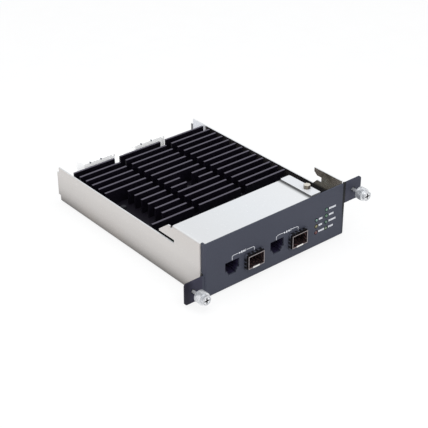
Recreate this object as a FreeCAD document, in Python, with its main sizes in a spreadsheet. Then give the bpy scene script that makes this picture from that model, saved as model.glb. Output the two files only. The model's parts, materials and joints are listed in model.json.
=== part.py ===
"""Plug-in network line card: sheet-metal tray, finned heat sink, two port pairs, two captive screws.

Frame: origin in the middle of the tray's underside, X along the front panel, Y to the rear,
Z up. The pieces are laid out from the front lower left corner, then moved into that frame as
a last step. All lengths are millimetres.
"""
import FreeCAD, Part
import os
import Sketcher
from FreeCAD import Placement, Rotation, Vector

# --------------------------------------------------------------------------- driving sizes
SIZES = {
    # card envelope and sheet metal
    "card_width": 126.7, "card_height": 40.4, "tray_rear": 168.5,
    "tray_sheet": 1.0, "left_wall_out": 1.0, "floor_drop": 1.0, "floor_bend": 1.6,
    "fold_bend": 1.6, "inner_bend": 0.6,
    "low_wall": 27.4, "rear_tab_length": 2.5, "rear_tab_low": 4.2, "rear_tab_high": 22.9,
    # raised front part of the walls and the flange folded over from the left wall
    "flange_rear": 32.3, "flange_right": 103.0, "tongue_slot": 2.9, "tongue_length": 14.3,
    "slot_reach": 1.7, "tongue_top_length": 4.8, "tongue_nose": 1.4, "tongue_notch_drop": 2.8,
    "tongue_notch_width": 2.4, "tongue_top_drop": 1.4,
    "hook_tip_back": 1.7, "hook_drop": 5.4, "hook_slot": 3.6, "hook_slot_length": 9.0,
    "hook_nose_rise": 2.4, "hook_foot_back": 0.8, "hook_lip_back": 4.7,
    # front panel with its two ears
    "panel_sheet": 1.2, "panel_bend": 1.6, "panel_return": 3.8, "panel_corner": 2.2,
    "panel_gap": 0.1, "ear_width": 15.9, "ear_height": 16.2, "ear_inset": 0.4,
    "ear_setback": 1.0, "ear_corner": 2.0, "ear_relief": 1.0,
    "stud_radius": 1.25, "stud_length": 3.6, "stud_inset": 8.6, "stud_low": 4.3,
    "lip_height": 7.1, "lip_end_gap": 4.0, "stud_clearance": 0.15,
    "nut_across": 2.9, "nut_thick": 1.2, "nut_gap": 0.1,
    # strip over the end of the flange, with its hex screw
    "strip_width": 8.8, "strip_overhang": 0.1, "strip_sheet": 1.0, "strip_corner": 1.4,
    "cover_screw_across": 2.5, "cover_screw_head": 2.8, "cover_screw_radius": 1.45,
    "cover_screw_inset": 3.6, "cover_screw_y": 10.9, "cover_screw_length": 5.5,
    "cover_nut_across": 3.3, "cover_nut_thick": 2.2, "screw_clearance": 0.15,
    # main board and what carries it
    "standoff_height": 6.8, "standoff_radius": 2.6, "board_thick": 1.6, "board_side_gap": 1.2,
    "board_rear_gap": 2.5, "board_screw_radius": 1.5,
    "board_screw_head": 2.9, "board_screw_head_thick": 1.8, "board_hole_gap": 0.15,
    "mount_inset_x": 6.0, "mount_front_y": 52.0, "mount_behind_screw": 5.27,
    "mount_rear_inset": 8.0,
    # ports: two pairs of one copper jack and one optical cage
    "port_pitch": 39.6, "jack_x": 23.0, "jack_to_cage": 18.7,
    "jack_width": 15.6, "jack_depth": 21.0, "jack_height": 14.6, "jack_gap": 0.3,
    "jack_mouth_width": 11.9, "jack_mouth_height": 6.7, "jack_step_width": 8.4,
    "jack_step_height": 1.65, "jack_latch_width": 6.6, "jack_latch_height": 1.65,
    "jack_floor": 1.0, "jack_cavity": 15.0, "panel_port_gap": 0.1,
    "shield_sheet": 0.25, "contact_pitch": 1.02, "contact_width": 0.4, "contact_thick": 0.3,
    "contact_length": 9.0, "contact_drop": 3.8,
    "cage_width": 14.0, "cage_height": 9.8, "cage_lift": 0.3, "cage_sheet": 0.35,
    "cage_proud": 3.0, "cage_rear": 45.0, "rim_width": 0.5, "rim_depth": 1.2,
    "latch_width": 5.4, "latch_length": 5.0, "latch_thick": 0.3,
    "gasket_band": 1.1, "gasket_sheet": 0.2, "gasket_front": 1.6, "gasket_finger": 1.9,
    "gasket_slot": 0.5, "gasket_gap": 0.15,
    "host_width": 11.6, "host_height": 5.4, "host_depth": 8.0, "host_slot_height": 1.5,
    "host_slot_width": 9.4, "host_slot_depth": 5.0, "host_setback": 1.4,
    # light pipes
    "led_past_cage": 10.8, "led_column_gap": 9.4, "led_low": 11.0, "led_pitch": 4.92,
    "pipe_radius": 0.95, "pipe_hole_gap": 0.1, "pipe_proud": 0.2,
    "pipe_step": 2.6, "led_height": 0.7, "led_size": 1.6, "pipe_air": 0.2,
    "holder_thick": 1.4, "holder_margin": 2.4,
    # heat sink
    "sink_left_gap": 1.8, "sink_right_gap": 1.9, "sink_rear_gap": 4.2, "sink_over_parts": 1.2,
    "sink_base_thick": 2.9, "fin_height": 10.8, "fin_thick": 1.5, "fin_pitch": 7.86,
    "fin_first": 59.5, "sink_edge": 0.75,
    "cross_cut_left": 38.5, "cross_cut_right": 81.4, "cross_cut_width": 5.1,
    "side_pocket_right": 17.2, "centre_pocket_left": 57.4, "centre_pocket_right": 68.7,
    "sink_screw_radius": 1.5, "sink_screw_head_thick": 2.6,
    "washer_thick": 0.4, "sink_post_across": 2.6,
    # chips and passives on the board
    "chip_thick": 2.4, "pad_thick": 0.5, "switch_chip_side": 31.0, "switch_chip_inset": 29.7,
    "switch_chip_back": 48.0, "phy_side": 17.0, "phy_behind_edge": 17.25, "cpu_side": 23.0,
    "cpu_x": 36.0, "cpu_back": 40.0, "memory_x": 62.0, "memory_width": 9.0, "memory_length": 13.0,
    "memory_thick": 1.1, "memory_pitch": 15.0, "memory_back": 54.0, "pedestal_margin": 1.0,
    "inductor_side": 8.0, "inductor_height": 4.0, "inductor_x": 16.0, "inductor_back": 18.0,
    "inductor_pitch": 10.5, "cap_radius": 2.6, "cap_height": 4.2, "cap_y": 66.0,
    "cap_pitch": 7.5, "cap_inset": 14.7, "crystal_length": 5.0, "crystal_width": 3.2,
    "crystal_height": 1.0, "crystal_x": 62.0, "crystal_y": 62.0, "flash_length": 8.0,
    "flash_width": 5.3, "flash_height": 1.8, "flash_gap": 2.5, "flash_back": 48.0,
    "magnetics_length": 14.0, "magnetics_width": 9.0, "magnetics_height": 5.0,
    "magnetics_y": 34.0,
    # rear sockets
    "socket_left_x": 15.2, "socket_gap": 4.3, "socket_width": 27.4, "socket_overhang": 3.8,
    "socket_depth": 11.0, "socket_top": 28.2, "socket_end": 6.0, "socket_module": 9.8,
    "socket_notch": 0.9, "socket_notch_depth": 1.3, "socket_cavity_wall": 1.4,
    "socket_cavity_depth": 8.0, "blade_pitch": 2.0, "blade_width": 0.6, "blade_thick": 0.4,
    "blade_length": 6.5, "blade_end_gap": 0.8, "power_gap": 2.9, "power_width": 12.0, "power_top": 19.0,
    "power_setback": 0.2, "power_depth": 10.0, "power_wall": 1.5, "power_blade": 1.0,
    # captive thumbscrews, shown pulled out
    "left_screw_out": 9.0, "left_screw_z": 8.8, "right_screw_out": 8.2,
    "right_screw_drop": 8.3, "ear_hole_gap": 0.25, "neck_radius": 1.15, "thread_radius": 1.5,
    "thread_length": 5.0,
    "pulled_out": 6.3, "knurl_radius": 4.4, "knurl_length": 5.2, "collar_radius": 3.5,
    "collar_length": 2.4, "recess_width": 1.1, "recess_length": 4.2, "recess_depth": 1.4,
    "ring_radius": 2.9, "ring_thick": 0.8, "ring_gap": 0.05, "seat_gap": 0.05,
    "head_groove": 0.6, "head_groove_depth": 0.5,
}

doc = FreeCAD.newDocument("switch_line_card")
sheet = doc.addObject("Spreadsheet::Sheet", "sizes")
for line, (alias, number) in enumerate(SIZES.items(), start=1):
    sheet.set(f"A{line}", alias)
    sheet.set(f"B{line}", str(number))
    sheet.setAlias(f"B{line}", alias)
doc.recompute()


class Size:
    """A length with the formula that binds it to the sheet."""

    def __init__(self, formula, value):
        self.formula, self.value = formula, value

    def _with(self, sign, other, work):
        other = size(other)
        return Size(f"({self.formula} {sign} {other.formula})", work(self.value, other.value))

    def __add__(self, other):
        return self._with("+", other, lambda a, b: a + b)

    def __sub__(self, other):
        return self._with("-", other, lambda a, b: a - b)

    def __mul__(self, other):
        return self._with("*", other, lambda a, b: a * b)

    def __truediv__(self, other):
        return self._with("/", other, lambda a, b: a / b)

    def __radd__(self, other):
        return size(other) + self

    def __rsub__(self, other):
        return size(other) - self

    def __rmul__(self, other):
        return size(other) * self

    def __neg__(self):
        return size(0) - self


def size(amount):
    return amount if isinstance(amount, Size) else Size(f"{float(amount):g}", float(amount))


class Sheet:
    """Attribute access to the sheet: d.card_width is the Size of that cell."""

    def __getattr__(self, alias):
        return Size(f"sizes.{alias}", float(SIZES[alias]))


d = Sheet()

# --------------------------------------------------------------------------- building blocks
TURNS = {
    "x": Rotation(Vector(0, 1, 0), 90),
    "y": Rotation(Vector(1, 0, 0), -90),
    "z": Rotation(),
}
PLANES = {  # how a sketch's own axes lie: xz looks along Y, yz along X, xy along Z
    "xz": (Rotation(Vector(1, 0, 0), 90), Vector(0, 1, 0), "y"),
    "yz": (Rotation(Vector(1, 1, 1), 120), Vector(1, 0, 0), "x"),
    "xy": (Rotation(), Vector(0, 0, 1), "z"),
}
nodes = {}


def bind(obj, **amounts):
    for name, amount in amounts.items():
        obj.setExpression(name, size(amount).formula)
    return obj


def put(obj, x=0, y=0, z=0):
    for axis, amount in zip("xyz", (x, y, z)):
        obj.setExpression(f"Placement.Base.{axis}", size(amount).formula)
    return obj


def box(name, x, y, z):
    """Block between two limits on each axis."""
    obj = doc.addObject("Part::Box", name)
    bind(obj, Length=x[1] - x[0], Width=y[1] - y[0], Height=z[1] - z[0])
    return put(obj, x[0], y[0], z[0])


def rod(name, axis, start, radius, length):
    obj = doc.addObject("Part::Cylinder", name)
    obj.Placement = Placement(Vector(), TURNS[axis])
    return put(bind(obj, Radius=radius, Height=length), *start)


def hexagon(name, axis, start, across_half, length):
    """Hexagonal prism; across_half is half the width across its corners."""
    obj = doc.addObject("Part::Prism", name)
    obj.Polygon = 6
    obj.Placement = Placement(Vector(), TURNS[axis])
    return put(bind(obj, Circumradius=across_half, Height=length), *start)


def fuse(name, *pieces):
    obj = doc.addObject("Part::MultiFuse", name)
    obj.Shapes = list(pieces)
    return obj


def cut(name, base, *tools):
    obj = doc.addObject("Part::Cut", name)
    obj.Base = base
    obj.Tool = tools[0] if len(tools) == 1 else fuse(f"{name}_tools", *tools)
    return obj


def common(name, first, second):
    obj = doc.addObject("Part::MultiCommon", name)
    obj.Shapes = [first, second]
    return obj


def group(name, *pieces):
    """Several separate solids kept as one object."""
    obj = doc.addObject("Part::Compound", name)
    obj.Links = list(pieces)
    return obj


def outline(name, plane, start, length, corners):
    """Extruded closed outline. A corner is (u, v) or, where two square edges meet, (u, v, radius)."""
    turn, direction, axis = PLANES[plane]
    sketch = doc.addObject("Sketcher::SketchObject", f"{name}_sketch")
    sketch.Placement = Placement(Vector(), turn)
    sketch.setExpression(f"Placement.Base.{axis}", size(start).formula)
    count = len(corners)
    ends = []
    for index, corner in enumerate(corners):
        u, v = size(corner[0]), size(corner[1])
        if len(corner) == 2:
            ends.append([(u, v)])
            continue
        radius, before, after = size(corner[2]), corners[index - 1], corners[(index + 1) % count]
        pair = []
        for other in (before, after):
            step_u, step_v = size(other[0]).value - u.value, size(other[1]).value - v.value
            along_u = abs(step_u) > abs(step_v)
            sign = 1 if (step_u if along_u else step_v) > 0 else -1
            pair.append((u + radius * sign, v) if along_u else (u, v + radius * sign))
        ends.append(pair)
    for index, pair in enumerate(ends):
        first, second = pair[-1], ends[(index + 1) % count][0]
        line = sketch.addGeometry(Part.LineSegment(Vector(first[0].value, first[1].value),
                                                   Vector(second[0].value, second[1].value)))
        for place, point in ((1, first), (2, second)):
            if place == 2 and len(ends[(index + 1) % count]) == 1:
                continue
            for kind, amount in (("DistanceX", point[0]), ("DistanceY", point[1])):
                number = sketch.addConstraint(
                    Sketcher.Constraint(kind, -1, 1, line, place, amount.value))
                label = f"{kind[-1].lower()}_{index}_{place}"
                sketch.renameConstraint(number, label)
                sketch.setExpression(f"Constraints.{label}", amount.formula)
    for index, pair in enumerate(ends):
        line, before = index, (index - 1) % count
        if len(pair) == 1:
            sketch.addConstraint(Sketcher.Constraint("Coincident", before, 2, line, 1))
            continue
        radius = size(corners[index][2])
        (a_u, a_v), (b_u, b_v) = pair
        corner_u, corner_v = size(corners[index][0]).value, size(corners[index][1]).value
        centre = Vector(a_u.value + b_u.value - corner_u, a_v.value + b_v.value - corner_v)
        first, second = Vector(a_u.value, a_v.value), Vector(b_u.value, b_v.value)
        middle = Vector(corner_u, corner_v) - centre
        middle = centre + middle * (radius.value / middle.Length)
        turn_left = (first - centre).cross(second - centre).z > 0
        arc = sketch.addGeometry(Part.Arc(first, middle, second))
        start_end, end_end = (1, 2) if turn_left else (2, 1)
        sketch.addConstraint(Sketcher.Constraint("Coincident", before, 2, arc, start_end))
        sketch.addConstraint(Sketcher.Constraint("Coincident", arc, end_end, line, 1))
        number = sketch.addConstraint(Sketcher.Constraint("Radius", arc, radius.value))
        sketch.renameConstraint(number, f"radius_{index}")
        sketch.setExpression(f"Constraints.radius_{index}", radius.formula)
    solid = doc.addObject("Part::Extrusion", name)
    solid.Base = sketch
    solid.DirMode = "Custom"
    solid.Dir = direction
    solid.Solid = True
    return bind(solid, LengthFwd=length)


def node(name, obj, x=0, y=0, z=0):
    """Name a finished piece and put it in its place about the middle of the underside."""
    if obj.TypeId == "Part::Box":
        obj = group(f"{name}_solid", obj)
    obj.Label = name
    nodes[name] = put(obj, x - (d.card_width - d.left_wall_out) / 2,
                      y - (panel_back + d.tray_rear) / 2, z + d.floor_drop)


# --------------------------------------------------------------------------- shared levels
tray_left = -d.left_wall_out                            # the left wall stands outside the panel
tray_low = -d.floor_drop
inside = tray_left + d.tray_sheet
floor_top = tray_low + d.tray_sheet
parts_left = d.tray_sheet                               # the parts keep in line with the panel
inside_right = d.card_width - d.tray_sheet
board_low = floor_top + d.standoff_height
board_top = board_low + d.board_thick
panel_back = d.panel_sheet + d.panel_gap                # where the tray's front edges start
walls_front = d.panel_return + d.panel_gap
ear_face = d.ear_setback
ear_back = d.ear_setback + d.panel_sheet
left_ear_top = d.ear_inset + d.ear_height
right_ear_low = d.card_height - d.ear_inset - d.ear_height
chip_top = board_top + d.chip_thick
pad_top = chip_top + d.pad_thick
board_front = panel_back + d.tray_sheet + d.nut_thick + d.nut_gap
board_rear = d.tray_rear - d.board_rear_gap
socket_rear = board_rear + d.socket_overhang
socket_front = socket_rear - d.socket_depth
stud_places = [(d.stud_inset, d.stud_low), (d.card_width - d.stud_inset, d.stud_low)]
sink_left, sink_right = parts_left + d.sink_left_gap, inside_right - d.sink_right_gap
sink_base_low = board_top + d.cap_height + d.sink_over_parts
sink_base_high = sink_base_low + d.sink_base_thick
fin_top = sink_base_high + d.fin_height
fin_room = socket_front - d.sink_rear_gap - d.sink_edge - d.fin_first
fin_rows = int(fin_room.value / d.fin_pitch.value) + 1
sink_front = d.fin_first - d.sink_edge
sink_rear = d.fin_first + d.fin_pitch * (fin_rows - 1) + d.sink_edge
cross_cuts = (d.cross_cut_left, d.cross_cut_right)


def fin_y(row):
    """Middle of a fin, counted from the front."""
    return d.fin_first + d.fin_pitch * row


side_screw_y = (fin_y(5) + fin_y(6)) / 2
rear_screw_y = (fin_y(fin_rows - 2) + fin_y(fin_rows - 1)) / 2
sink_screws = [
    ((d.centre_pocket_left + d.centre_pocket_right) / 2, (fin_y(4) + fin_y(5)) / 2),
    ((sink_left + d.side_pocket_right) / 2, side_screw_y),
    (d.cross_cut_left + d.cross_cut_width / 2, rear_screw_y),
    (d.cross_cut_right + d.cross_cut_width / 2, rear_screw_y),
    (d.cross_cut_right + d.cross_cut_width / 2, (fin_y(0) + fin_y(1)) / 2),
]
board_mounts = [(x, y) for y in (d.mount_front_y, side_screw_y + d.mount_behind_screw,
                                 board_rear - d.mount_rear_inset)
                for x in (parts_left + d.mount_inset_x, inside_right - d.mount_inset_x)]
hook_underside = d.card_height - d.hook_drop
hook_lip_rear = d.flange_rear - d.hook_lip_back
hook_slot_end = d.flange_rear - d.hook_slot_length
hook_tip = d.flange_rear - d.hook_tip_back
cage_x = d.jack_x + d.jack_to_cage
led_left_x = cage_x + d.port_pitch + d.cage_width / 2 + d.led_past_cage
led_right_x = led_left_x + d.led_column_gap
cover_screw_x = d.flange_right - d.cover_screw_inset
ear_hole = d.thread_radius + d.ear_hole_gap
screw_places = {"left": (-d.left_screw_out, d.left_screw_z),
                "right": (d.card_width + d.right_screw_out, d.card_height - d.right_screw_drop)}

# --------------------------------------------------------------------------- tray
front_section = outline("front_section", "xz", panel_back, d.flange_rear - panel_back, [
    (tray_left, tray_low, d.floor_bend), (d.card_width, tray_low, d.floor_bend),
    (d.card_width, d.card_height), (inside_right, d.card_height),
    (inside_right, floor_top, d.floor_bend - d.tray_sheet),
    (inside, floor_top, d.floor_bend - d.tray_sheet),
    (inside, d.card_height - d.tray_sheet, d.inner_bend),
    (d.flange_right, d.card_height - d.tray_sheet), (d.flange_right, d.card_height),
    (tray_left, d.card_height, d.fold_bend)])
low_section = outline("low_section", "xz", d.flange_rear, d.tray_rear - d.flange_rear, [
    (tray_left, tray_low, d.floor_bend), (d.card_width, tray_low, d.floor_bend),
    (d.card_width, d.low_wall), (inside_right, d.low_wall),
    (inside_right, floor_top, d.floor_bend - d.tray_sheet),
    (inside, floor_top, d.floor_bend - d.tray_sheet), (inside, d.low_wall),
    (tray_left, d.low_wall)])
tongue_low = d.low_wall + d.tongue_slot
tongue_high = d.card_height - d.tongue_top_drop
tongue = outline("tongue", "yz", tray_left, d.tray_sheet, [
    (d.flange_rear, tongue_low), (d.flange_rear + d.tongue_length, tongue_low),
    (d.flange_rear + d.tongue_length, tongue_low + d.tongue_nose),
    (d.flange_rear + d.tongue_top_length, tongue_high),
    (d.flange_rear + d.tongue_notch_width, tongue_high),
    (d.flange_rear + d.tongue_notch_width, d.card_height - d.tongue_notch_drop),
    (d.flange_rear, d.card_height - d.tongue_notch_drop)])
slot_end_cut = box("slot_end_cut", (tray_left - d.tray_sheet, inside + d.inner_bend),
                   (d.flange_rear - d.slot_reach, d.flange_rear + d.slot_reach),
                   (d.low_wall, tongue_low))
hook_cut = outline("hook_cut", "yz", inside_right - d.tray_sheet, d.tray_sheet * 3, [
    (hook_slot_end, hook_underside), (hook_slot_end, hook_underside - d.hook_slot),
    (hook_lip_rear, hook_underside - d.hook_slot),
    (d.flange_rear - d.hook_foot_back, d.low_wall),
    (d.flange_rear + d.tray_sheet, d.low_wall),
    (d.flange_rear + d.tray_sheet, d.card_height + d.tray_sheet),
    (hook_tip, d.card_height + d.tray_sheet), (hook_tip, hook_underside + d.hook_nose_rise),
    (hook_lip_rear, hook_underside)])
rear_tabs = [box(f"rear_tab_{side}", x, (d.tray_rear, d.tray_rear + d.rear_tab_length),
                 (d.rear_tab_low, d.rear_tab_high))
             for side, x in (("left", (tray_left, inside)), ("right", (inside_right, d.card_width)))]
front_lip = box("front_lip", (parts_left + d.lip_end_gap, inside_right - d.lip_end_gap),
                (panel_back, panel_back + d.tray_sheet), (tray_low, d.lip_height))
return_inner = d.panel_sheet + d.panel_gap
wall_reliefs = [
    box("left_relief", (tray_left - d.tray_sheet, return_inner), (size(0), walls_front),
        (tray_low - d.tray_sheet, d.card_height * 2)),
    box("right_relief", (d.card_width - return_inner, d.card_width + d.panel_bend),
        (size(0), walls_front), (tray_low - d.tray_sheet, d.card_height * 2))]
lip_holes = [rod(f"lip_hole_{i}", "y", (x, size(0), z), d.stud_radius + d.stud_clearance,
                 panel_back + d.tray_sheet * 2) for i, (x, z) in enumerate(stud_places)]
flange_hole = rod("flange_hole", "z", (cover_screw_x, d.cover_screw_y, d.low_wall),
                  d.cover_screw_radius + d.screw_clearance, d.card_height)
tray = cut("tray_body", fuse("tray_blank", front_section, low_section, tongue, front_lip,
                             *rear_tabs),
           hook_cut, slot_end_cut, *wall_reliefs, *lip_holes, flange_hole)
node("chassis_tray", tray)

# --------------------------------------------------------------------------- front panel
channel = outline("panel_channel", "xy", 0, d.card_height, [
    (0, 0, d.panel_bend), (d.card_width, 0, d.panel_bend), (d.card_width, d.panel_return),
    (d.card_width - d.panel_sheet, d.panel_return),
    (d.card_width - d.panel_sheet, d.panel_sheet), (d.panel_sheet, d.panel_sheet),
    (d.panel_sheet, d.panel_return), (0, d.panel_return)])
face_shape = outline("panel_face_shape", "xz", 0, d.panel_return, [
    (0, 0), (d.card_width, 0, d.panel_corner), (d.card_width, d.card_height),
    (0, d.card_height)])
left_ear = outline("left_ear", "xz", ear_face, d.panel_sheet, [
    (-d.ear_width, d.ear_inset, d.ear_corner), (d.panel_sheet, d.ear_inset),
    (d.panel_sheet, left_ear_top), (-d.ear_width, left_ear_top, d.ear_corner)])
right_edge = d.card_width - d.panel_sheet
right_ear = outline("right_ear", "xz", ear_face, d.panel_sheet, [
    (right_edge, right_ear_low), (d.card_width + d.ear_width, right_ear_low, d.ear_corner),
    (d.card_width + d.ear_width, d.card_height - d.ear_inset, d.ear_corner),
    (right_edge, d.card_height - d.ear_inset)])
return_cuts = [
    box("left_return_cut", (-d.panel_sheet, d.panel_sheet), (ear_back, d.panel_return * 2),
        (-d.ear_inset, left_ear_top + d.ear_relief)),
    box("right_return_cut", (right_edge, d.card_width + d.panel_sheet),
        (ear_back, d.panel_return * 2),
        (right_ear_low - d.ear_relief, d.card_height + d.ear_inset))]


def jack_mouth(name, start, length, gap):
    """Stepped opening of a copper jack, latch notch downwards, about its own centre line."""
    low = board_top + d.jack_floor
    step = low + d.jack_latch_height
    body = step + d.jack_step_height
    halves = [half / 2 + gap for half in (d.jack_latch_width, d.jack_step_width,
                                          d.jack_mouth_width)]
    return outline(name, "xz", start, length, [
        (-halves[0], low - gap), (halves[0], low - gap), (halves[0], step - gap),
        (halves[1], step - gap), (halves[1], body - gap), (halves[2], body - gap),
        (halves[2], body + d.jack_mouth_height + gap),
        (-halves[2], body + d.jack_mouth_height + gap), (-halves[2], body - gap),
        (-halves[1], body - gap), (-halves[1], step - gap), (-halves[0], step - gap)])


cage_low = board_top + d.cage_lift
cage_high = cage_low + d.cage_height
port_cuts = []
for pair in range(2):
    mouth = jack_mouth(f"panel_jack_cut_{pair}", 0, d.panel_sheet * 2, d.panel_port_gap)
    port_cuts.append(put(mouth, d.jack_x + d.port_pitch * pair))
    middle = cage_x + d.port_pitch * pair
    reach = d.cage_width / 2 + d.gasket_band
    port_cuts.append(box(f"panel_cage_cut_{pair}", (middle - reach, middle + reach),
                         (size(0), d.panel_sheet * 2),
                         (cage_low - d.gasket_band, cage_high + d.gasket_band)))
led_places = [(led_left_x, row) for row in range(3)] + [(led_right_x, row) for row in range(4)]
led_cuts = [rod(f"led_cut_{i}", "y", (x, -d.panel_sheet, d.led_low + d.led_pitch * row),
                d.pipe_radius + d.pipe_hole_gap, d.panel_sheet * 3)
            for i, (x, row) in enumerate(led_places)]
ear_holes = [rod(f"ear_hole_{side}", "y", (x, size(0), z), ear_hole, d.panel_return)
             for side, (x, z) in screw_places.items()]
studs = [rod(f"panel_stud_{i}", "y", (x, d.panel_sheet / 2, z), d.stud_radius,
             d.panel_sheet / 2 + d.stud_length) for i, (x, z) in enumerate(stud_places)]
panel_blank = cut("panel_blank", common("panel_sheet_body", channel, face_shape), *return_cuts)
panel = cut("panel_body", fuse("panel_with_ears", panel_blank, left_ear, right_ear, *studs),
            *port_cuts, *led_cuts, *ear_holes)
node("front_panel", panel)


def nut(name, axis, start, across_half, hole, length):
    return cut(name, hexagon(f"{name}_hex", axis, start, across_half, length),
               rod(f"{name}_bore", axis, start, hole, length))


nut_front = panel_back + d.tray_sheet
node("panel_nuts", group("panel_nut_set", *[
    nut(f"panel_nut_{i}", "y", (x, nut_front, z), d.nut_across, d.stud_radius, d.nut_thick)
    for i, (x, z) in enumerate(stud_places)]))

# --------------------------------------------------------------------------- cover strip
strip_top = d.card_height + d.strip_sheet
strip_left = d.flange_right - d.strip_width
strip_rear = d.flange_rear + d.strip_overhang
strip = cut("strip_body", outline("strip_blank", "xy", d.card_height, d.strip_sheet, [
    (strip_left, panel_back), (d.flange_right, panel_back),
    (d.flange_right, strip_rear, d.strip_corner), (strip_left, strip_rear, d.strip_corner)]),
    rod("strip_hole", "z", (cover_screw_x, d.cover_screw_y, d.low_wall),
        d.cover_screw_radius + d.screw_clearance, d.card_height))
node("cover_strip", strip)
cover_screw = fuse("cover_screw_body",
                   hexagon("cover_screw_hex", "z",
                           (cover_screw_x, d.cover_screw_y, strip_top),
                           d.cover_screw_across, d.cover_screw_head),
                   rod("cover_screw_shank", "z",
                       (cover_screw_x, d.cover_screw_y, strip_top - d.cover_screw_length),
                       d.cover_screw_radius, d.cover_screw_length))
node("cover_screw", cover_screw)
cover_nut_low = d.card_height - d.tray_sheet - d.cover_nut_thick
node("cover_nut", nut("cover_nut_body", "z", (cover_screw_x, d.cover_screw_y, cover_nut_low),
                      d.cover_nut_across, d.cover_screw_radius, d.cover_nut_thick))

# --------------------------------------------------------------------------- board and seats
node("board_standoffs", group("standoff_set", *[
    cut(f"standoff_{i}", rod(f"standoff_post_{i}", "z", (x, y, floor_top), d.standoff_radius,
                             d.standoff_height),
        rod(f"standoff_bore_{i}", "z", (x, y, floor_top), d.board_screw_radius,
            d.standoff_height))
    for i, (x, y) in enumerate(board_mounts)]))
board_holes = [rod(f"board_hole_{i}", "z", (x, y, board_low), d.board_screw_radius
                   + d.board_hole_gap, d.board_thick)
               for i, (x, y) in enumerate(board_mounts + sink_screws)]
board = cut("board_body",
            box("board_blank", (parts_left + d.board_side_gap, inside_right - d.board_side_gap),
                (board_front, board_rear), (board_low, board_top)), *board_holes)
node("main_board", board)
node("board_screws", group("board_screw_set", *[
    fuse(f"board_screw_{i}",
         rod(f"board_screw_head_{i}", "z", (x, y, board_top), d.board_screw_head,
             d.board_screw_head_thick),
         rod(f"board_screw_shank_{i}", "z", (x, y, floor_top), d.board_screw_radius,
             board_top - floor_top))
    for i, (x, y) in enumerate(board_mounts)]))


# --------------------------------------------------------------------------- ports
def copper_jack(name, pair):
    """Housing, shield and contacts of one copper jack, built about its centre line."""
    x, y = d.jack_x + d.port_pitch * pair, d.panel_sheet + d.jack_gap
    half, high = d.jack_width / 2, board_top + d.jack_height
    cover = d.shield_sheet
    housing = cut(f"{name}_block",
                  box(f"{name}_blank", (-half + cover, half - cover),
                      (size(0), d.jack_depth - cover), (board_top, high - cover)),
                  jack_mouth(f"{name}_mouth", -cover, d.jack_cavity + cover, size(0)))
    node(f"{name}_housing", housing, x, y)
    shield = cut(f"{name}_can", box(f"{name}_can_outer", (-half, half), (size(0), d.jack_depth),
                                    (board_top, high)),
                 box(f"{name}_can_inner", (-half + cover, half - cover),
                     (-cover, d.jack_depth - cover), (board_top - cover, high - cover)))
    node(f"{name}_shield", shield, x, y)
    mouth_high = (board_top + d.jack_floor + d.jack_latch_height + d.jack_step_height
                  + d.jack_mouth_height)
    wires = []
    for i in range(8):
        left = d.contact_pitch * (i - 3.5) - d.contact_width / 2
        rear = d.jack_cavity
        front = rear - d.contact_length
        wires.append(outline(f"{name}_wire_{i}", "yz", left, d.contact_width, [
            (front, mouth_high), (rear, mouth_high - d.contact_drop),
            (rear, mouth_high - d.contact_drop + d.contact_thick * 1.2),
            (front + d.contact_thick * 3, mouth_high)]))
    node(f"{name}_contacts", group(f"{name}_wires", *wires), x, y)


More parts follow.
